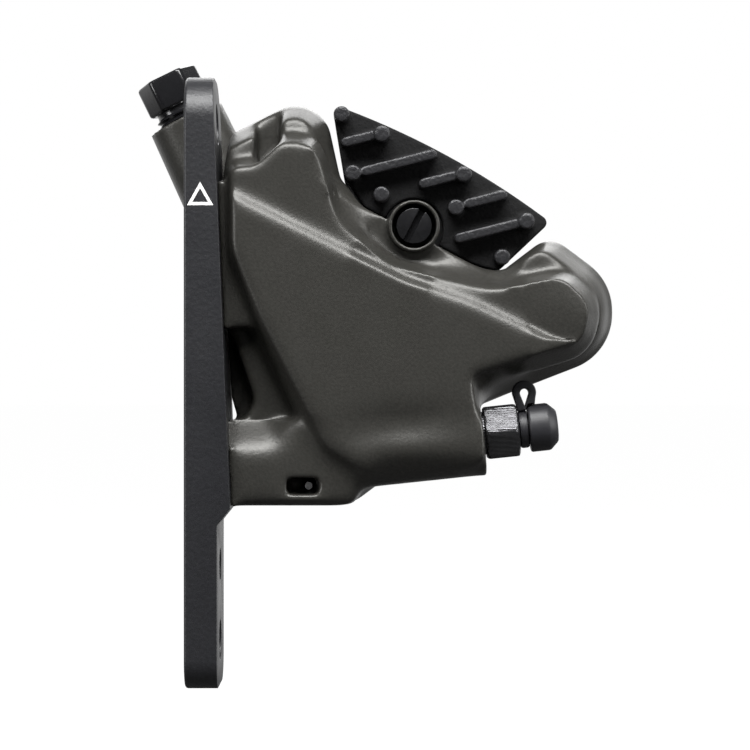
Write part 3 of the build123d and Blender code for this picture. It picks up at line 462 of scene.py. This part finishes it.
def relax(places, edges, weights, rounds):
    """Moves each point towards the middle of its neighbours, by its weight, in place."""
    count = len(places)
    degree = np.maximum(np.bincount(edges.ravel(), minlength=count), 1).astype(float)
    first, second = edges[:, 0], edges[:, 1]
    pull = (PULL * weights)[:, None]
    for _ in range(rounds):
        total = np.empty_like(places)
        for axis in range(3):
            total[:, axis] = np.bincount(first, places[second, axis], count)
            total[:, axis] += np.bincount(second, places[first, axis], count)
        places += pull * (total / degree[:, None] - places)


# Soft swellings of the forged front: X, Z, reach across, reach up, turn in degrees, depth,
# and the Y it stops at
SWELLS = [
    (56.0, 8.2, 5.4, 3.6, -25, 1.2, -8.5),
    (29.5, -10.8, 4.6, 1.9, 7, 1.0, -9.5),
    (28.5, -5.8, 5.0, 1.6, 7, -0.8, -9.5),
]
# Ends of the fades that bound the swells, and the slopes of the foot and of the port block.
# Y runs towards the wheel, so a depth is the distance in front of the bearing plane.
FRONT_TURN, FRONT_DEPTH = (0.1, 0.4), (-2.0, 0.0)
FOOT_REACH, FOOT_DEPTH = (11.0, 14.5), (2.5, 2.7)
FOOT_LOW, FOOT_HIGH = (-9.6, -9.2), (-4.5, -4.2)
FOOT_RISE, FOOT_EDGE_Y = 2.8, -2.6
PORT_REACH, PORT_DEPTH, PORT_DROP = (22.5, 27.0), (4.0, 4.4), (9.4, 9.8)
PORT_TOP_YZ, PORT_SLOPE = (-8.4, -10.0), 0.85


def press_front(places, normals):
    """Sets the forged slopes of the front that the sharp model has as steps, in place."""
    x, y, z = places.T
    front = smooth_step(-normals[:, 1], *FRONT_TURN) * smooth_step(-y, *FRONT_DEPTH)
    for at_x, at_z, across, up, turn, depth, stop in SWELLS:
        c, s = math.cos(math.radians(turn)), math.sin(math.radians(turn))
        u = ((x - at_x) * c + (z - at_z) * s) / across
        v = ((z - at_z) * c - (x - at_x) * s) / up
        room = np.clip((y - stop) / abs(depth), 0, 1)
        y -= room * front * depth * np.exp(-(u * u + v * v) / 2)
    foot = (1 - smooth_step(x, *FOOT_REACH)) * smooth_step(-y, *FOOT_DEPTH)
    foot *= smooth_step(z, *FOOT_LOW) * (1 - smooth_step(z, *FOOT_HIGH))
    y[:] += foot * np.maximum(np.minimum(z + FOOT_RISE, FOOT_EDGE_Y) - y, 0)
    port = smooth_step(x, *PORT_REACH) * smooth_step(-y, *PORT_DEPTH)
    port *= smooth_step(-z, *PORT_DROP)
    top_y, top_z = PORT_TOP_YZ
    y[:] += port * np.maximum(top_y - PORT_SLOPE * (z - top_z) - y, 0)


def freedom(x, y, z, boss):
    """How far each point may round off: 1 on the forging, near 0 by its machined forms."""
    window = np.maximum(
        np.abs(x - WINDOW_XZ[0]) - WINDOW_HALF_XZ[0], np.abs(z - WINDOW_XZ[1]) - WINDOW_HALF_XZ[1]
    )
    from_rotor = np.abs(y - ROTOR_Y)
    over, up = x - DISC_XZ[0], z - DISC_XZ[1]
    along = over * math.cos(PAD_TURN) - up * math.sin(PAD_TURN)
    out = over * math.sin(PAD_TURN) + up * math.cos(PAD_TURN)
    pads = np.maximum(np.abs(along) - PAD_HALF, PAD_LOW - out)
    bore = np.hypot(along, out - PISTON_OUT)
    seat = x - (SEAT_X - z * math.tan(SEAT_WEDGE))
    reach = (x - NIPPLE_ORIGIN.x) * NIPPLE_COS + (z - NIPPLE_ORIGIN.z) * NIPPLE_SIN
    port = np.hypot(y - NIPPLE_ORIGIN.y, z - NIPPLE_ORIGIN.z - reach * NIPPLE_SIN)
    rise = (z - TOWER_ORIGIN.z) * TOWER_COS - (x - TOWER_ORIGIN.x) * TOWER_SIN
    fin_rim = np.abs(np.maximum(np.abs(along + FIN_SHIFT) - FIN_HALF, FIN_LOW - out))
    # Distance from a form, put out of reach where it has ended; the distance under which a
    # point is held, the distance over which it is free, and the least that it may move
    forms = [
        (boss, 2.8, 5.6, 0.05),
        (window + 3 * smooth_step(y, -4.5, -3.5), 0.5, 1.4, 0.05),
        (from_rotor, 2.9, 4.2, 0.1),
        (pads + 8 * smooth_step(from_rotor, 5.6, 6.6), 0.2, 1.2, 0.1),
        (bore + 8 * smooth_step(-y, -26, -24), 12.3, 13.4, 0.1),
        (seat, 0.5, 1.2, 0.0),
        (port + 6 * smooth_step(-reach, 1.0, 2.0), 3.6, 4.6, 0.05),
        (-reach + 8 * smooth_step(z, -5.0, -4.0), 0.3, 1.3, 0.05),
        (-rise + 8 * smooth_step(-y, -16, -14), 0.6, 2.0, 0.1),
        (fin_rim + 5 * smooth_step(y, 9, 10), 0.35, 1.0, 0.05),
    ]
    free = np.ones(len(x))
    for distance, near, far, least in forms:
        np.minimum(free, least + (1 - least) * smooth_step(distance, near, far), out=free)
    return free


# Fades that bound the steep wall between the front's ridge and its pad pocket, and the low
# part of the front, which is rounder than the rest
WALL_BELOW_Y, WALL_ABOVE_Y = (0.8, 2.2), (-6.8, -5.6)
WALL_REACH, WALL_LOW, WALL_BOSS = (19.8, 21.5), (-4.0, -2.5), (4.4, 6.0)
LOW_DROP, LOW_DEPTH = (4.0, 6.0), (1.5, 3.0)
BODY_VOXEL = 0.26
WALL_ROUNDS = 420
EDGE_ROUNDS = 30
LOW_ROUNDS = 50


def forged_body():
    """The body with its forged edges rounded, and its machined ones only just broken."""
    piece, places, edges = voxel_copy("caliper_body", "caliper_body_skin", "body", BODY_VOXEL)
    places /= MM
    normals = np.empty(len(places) * 3, np.float32)
    piece.data.vertices.foreach_get("normal", normals)
    press_front(places, normals.reshape(-1, 3))
    x, y, z = places.T
    boss = np.hypot(x - PIN_AXIS_XZ[0], z - PIN_AXIS_XZ[1])
    free = freedom(x, y, z, boss)
    wall = smooth_step(y, *WALL_ABOVE_Y) * (1 - smooth_step(y, *WALL_BELOW_Y))
    wall *= smooth_step(x, *WALL_REACH) * smooth_step(z, *WALL_LOW)
    wall *= smooth_step(boss, *WALL_BOSS) * free
    pulled = wall > 0.001
    relax(places, edges[pulled[edges[:, 0]] | pulled[edges[:, 1]]], wall, WALL_ROUNDS)
    relax(places, edges, free, EDGE_ROUNDS)
    low_part = smooth_step(-z, *LOW_DROP) * smooth_step(-y, *LOW_DEPTH)
    relax(places, edges, free * low_part, LOW_ROUNDS)
    shaped(piece, places * MM, "body", "caliper", "caliper_body")


def softened(node, name, slot, body, voxel, rounds):
    """A copy of a cast CAD node with all its edges rounded."""
    piece, places, edges = voxel_copy(node, name, slot, voxel)
    relax(places, edges, np.ones(len(places)), rounds)
    shaped(piece, places, slot, body, node)


# Triangle on the plate: corners and middle in X and Z, its inner outline, its two depths
MARK_CORNERS = [(2.2, 26.6), (0.45, 23.5), (3.95, 23.5)]
MARK_MIDDLE = Vector((2.2, 24.55))
MARK_INSIDE = 0.6
MARK_DEPTHS = (-9.03, -8.97)


def plate_mark():
    """Plain triangle that shows which way up the plate goes."""
    bm = bmesh.new()
    rings = []
    for depth in MARK_DEPTHS:
        for share in (1, MARK_INSIDE):
            spots = [MARK_MIDDLE + (Vector(spot) - MARK_MIDDLE) * share for spot in MARK_CORNERS]
            rings.append([bm.verts.new((s.x * MM, depth * MM, s.y * MM)) for s in spots])
    outer, inner, outer_back, inner_back = rings
    pairs = ((outer, inner), (outer_back, inner_back), (outer, outer_back), (inner, inner_back))
    for one, two in pairs:
        for step in range(3):
            after = (step + 1) % 3
            bm.faces.new((one[step], one[after], two[after], two[step]))
    bmesh.ops.recalc_face_normals(bm, faces=bm.faces)
    piece = new_object("plate_mark", mesh_of(bm, "plate_mark"), "plate", "plate")
    coat(piece.data, mark_paint)


TURNED_SEGMENTS = 96
HEXAGON_SIDE = math.pi / 3


def turned(name, levels, lathe, slot, body, node):
    """A lathe piece. A level is (rise, radius) or (rise, radius, across the hexagon's flats)."""
    bm = bmesh.new()
    place, axis, up = (Vector(part) for part in lathe)
    axis.normalize()
    side = up.cross(axis).normalized()
    rings = []
    for rise, radius, *flats in levels:
        ring = []
        for step in range(TURNED_SEGMENTS):
            angle = 2 * math.pi * step / TURNED_SEGMENTS
            r = radius
            if flats:
                off = (angle + HEXAGON_SIDE / 2) % HEXAGON_SIDE - HEXAGON_SIDE / 2
                r = min(radius, flats[0] / 2 / math.cos(off))
            point = place + axis * rise + (up * math.cos(angle) + side * math.sin(angle)) * r
            ring.append(bm.verts.new(point * MM))
        rings.append(ring)
    for low_ring, high_ring in zip(rings, rings[1:]):
        for step in range(TURNED_SEGMENTS):
            after = (step + 1) % TURNED_SEGMENTS
            bm.faces.new((low_ring[step], low_ring[after], high_ring[after], high_ring[step]))
    for ring, flip in ((rings[0], True), (rings[-1], False)):
        if len(set(v.co.to_tuple(7) for v in ring)) > 3:
            bm.faces.new(reversed(ring) if flip else ring)
    bmesh.ops.remove_doubles(bm, verts=bm.verts, dist=1e-7)
    bmesh.ops.recalc_face_normals(bm, faces=bm.faces)
    mesh = mesh_of(bm, name)
    smooth(mesh, sharp_over=30)
    new_object(name, mesh, slot, body, node)


# Hose nut: its thread, and its head above it, in rises from the tower's end
THREAD_FOOT, THREAD_TOP = -6.9, 1.2
THREAD_PITCH, THREAD_CREST, THREAD_ROOT = 0.75, 4.0, 3.62
THREAD_FLANKS = ((0.15, THREAD_ROOT), (0.5, THREAD_CREST), (0.65, THREAD_CREST))
HOSE_BORE = 2.6
NUT_HEAD = [
    (1.65, 3.55), (2.1, 3.55), (2.1, 3.9), (2.2, 4.2, 7.6), (2.4, 4.45, 7.95), (2.6, 4.5, 8.0),
    (6.3, 4.5, 8.0), (6.5, 4.42, 7.9), (6.7, 4.2, 7.5), (6.7, 2.9), (6.4, HOSE_BORE),
]

# Profiles of the pieces at the port, in rises from the nipple's origin
NIPPLE_LEVELS = [
    (-6.2, 0.8), (-6.2, 2.6), (-5.7, 2.9), (-0.6, 2.9), (-0.6, 2.3), (0.0, 2.3), (0.0, 2.9),
    (0.25, 2.9), (0.25, 3.3), (0.45, 3.75, 6.9), (0.7, 3.95, 7.0), (4.4, 3.95, 7.0),
    (4.65, 3.75, 6.9), (4.85, 3.2), (4.85, 1.9), (6.25, 1.9), (6.25, 2.3), (7.15, 1.7),
    (8.3, 1.7), (8.45, 1.5), (8.45, 0.8), (-6.2, 0.8),
]
RING_LEVELS = [
    (4.92, 1.9), (4.92, 2.25), (5.05, 2.48), (5.3, 2.55), (5.85, 2.55), (6.08, 2.47),
    (6.2, 2.25), (6.2, 1.9), (4.92, 1.9),
]
CAP_LEVELS = [
    (8.6, 0.0), (8.6, 1.75), (7.2, 1.78), (6.25, 2.36), (6.25, 2.9), (6.33, 3.1), (6.5, 3.2),
    (8.75, 3.2), (9.05, 3.1), (9.95, 2.25), (10.1, 2.02), (10.15, 1.7), (10.15, 0.0),
]

# Strap in reach and rise from the nipple's origin: outline below its loop, the loop, its
# hole, half the width, the round of its edges, and where it holds to the nipple and the cap
STRAP_START = [(4.93, 2.5), (4.9, 3.3)]
STRAP_END = [(7.5, 4.0), (7.35, 3.24), (6.32, 3.24), (6.25, 2.62), (6.1, 2.62), (5.9, 2.5)]
HOLE_FOOT = (6.02, 2.95)
LOOP_CENTRE, LOOP_RADIUS = (6.13, 4.93), 1.57
HOLE_CENTRE, HOLE_RADIUS = (6.13, 4.81), 0.62
STRAP_HALF_WIDTH = 1.12
STRAP_ROUND = 0.18
STRAP_INSET = 0.16


def nut_levels():
    """Profile of the hose nut: outside from the thread's foot up, then down its bore."""
    levels = [(THREAD_FOOT, HOSE_BORE), (THREAD_FOOT, THREAD_ROOT)]
    rise = THREAD_FOOT
    while rise < THREAD_TOP:
        levels += [(rise + THREAD_PITCH * share, radius) for share, radius in THREAD_FLANKS]
        rise += THREAD_PITCH
        levels.append((rise, THREAD_ROOT))
    return levels + NUT_HEAD + [(THREAD_FOOT, HOSE_BORE)]


def arc(centre, radius, start, sweep, steps):
    """Points of an arc, in degrees, with the first and the last on its ends."""
    angles = [math.radians(start - sweep * step / steps) for step in range(steps + 1)]
    return [(centre[0] + radius * math.cos(a), centre[1] + radius * math.sin(a)) for a in angles]


def strap():
    curve = bpy.data.curves.new("strap_outline", "CURVE")
    curve.dimensions = "2D"
    curve.fill_mode = "BOTH"
    outer = STRAP_START + arc(LOOP_CENTRE, LOOP_RADIUS, 186, 198, 24) + STRAP_END
    inner = [HOLE_FOOT] + arc(HOLE_CENTRE, HOLE_RADIUS, 200, 220, 16)
    for outline in (outer, inner):
        spline = curve.splines.new("POLY")
        spline.points.add(len(outline) - 1)
        for point, (reach, rise) in zip(spline.points, outline):
            point.co = (reach * MM, rise * MM, 0, 1)
        spline.use_cyclic_u = True
    curve.extrude = STRAP_HALF_WIDTH * MM
    curve.bevel_depth = STRAP_ROUND * MM
    curve.bevel_resolution = 2
    curve.offset = -STRAP_INSET * MM
    shape = bpy.data.objects.new("strap_outline", curve)
    bpy.context.scene.collection.objects.link(shape)
    mesh = evaluated_mesh(shape)
    bpy.data.objects.remove(shape)
    c, s = NIPPLE_COS, NIPPLE_SIN
    origin = NIPPLE_ORIGIN * MM
    rows = ((c, -s, 0, origin.x), (0, 0, -1, origin.y), (s, c, 0, origin.z), (0, 0, 0, 1))
    mesh.transform(Matrix(rows))
    bm = bmesh.new()
    bm.from_mesh(mesh)
    bmesh.ops.remove_doubles(bm, verts=bm.verts, dist=WELD * MM)
    bmesh.ops.triangulate(bm, faces=bm.faces)
    bmesh.ops.recalc_face_normals(bm, faces=bm.faces)
    bm.to_mesh(mesh)
    bm.free()
    smooth(mesh, sharp_over=40)
    piece = new_object("strap_rubber", mesh, "cap_rubber", None, "cap_strap")
    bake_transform(piece)


forged_body()
beveled("mount_plate", "plate_skin", "plate", "plate", 0.28, 3)
plate_mark()
softened("outer_fin", "outer_fin_skin", "fin", "outer_pad", 0.15, 6)
softened("inner_fin", "inner_fin_skin", "fin", "inner_pad", 0.3, 3)
beveled("pad_axle", "pad_axle_skin", "axle_steel", "caliper", 0.18, 2)
turned("hose_nut_skin", nut_levels(), TOWER_LATHE, "nut_steel", "caliper", "hose_nut")
turned("nipple_skin", NIPPLE_LEVELS, NIPPLE_LATHE, "nipple_steel", "nipple", "bleed_nipple")
turned("cap_ring_rubber", RING_LEVELS, NIPPLE_LATHE, "cap_rubber", "nipple", "cap_ring")
turned("cap_rubber", CAP_LEVELS, NIPPLE_LATHE, "cap_rubber", "cap", "nipple_cap")
strap()
spring_mesh = clean_copy("pad_spring")
spring = new_object("pad_spring_leaf", spring_mesh, "spring_steel", "caliper", "pad_spring")
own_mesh(spring)
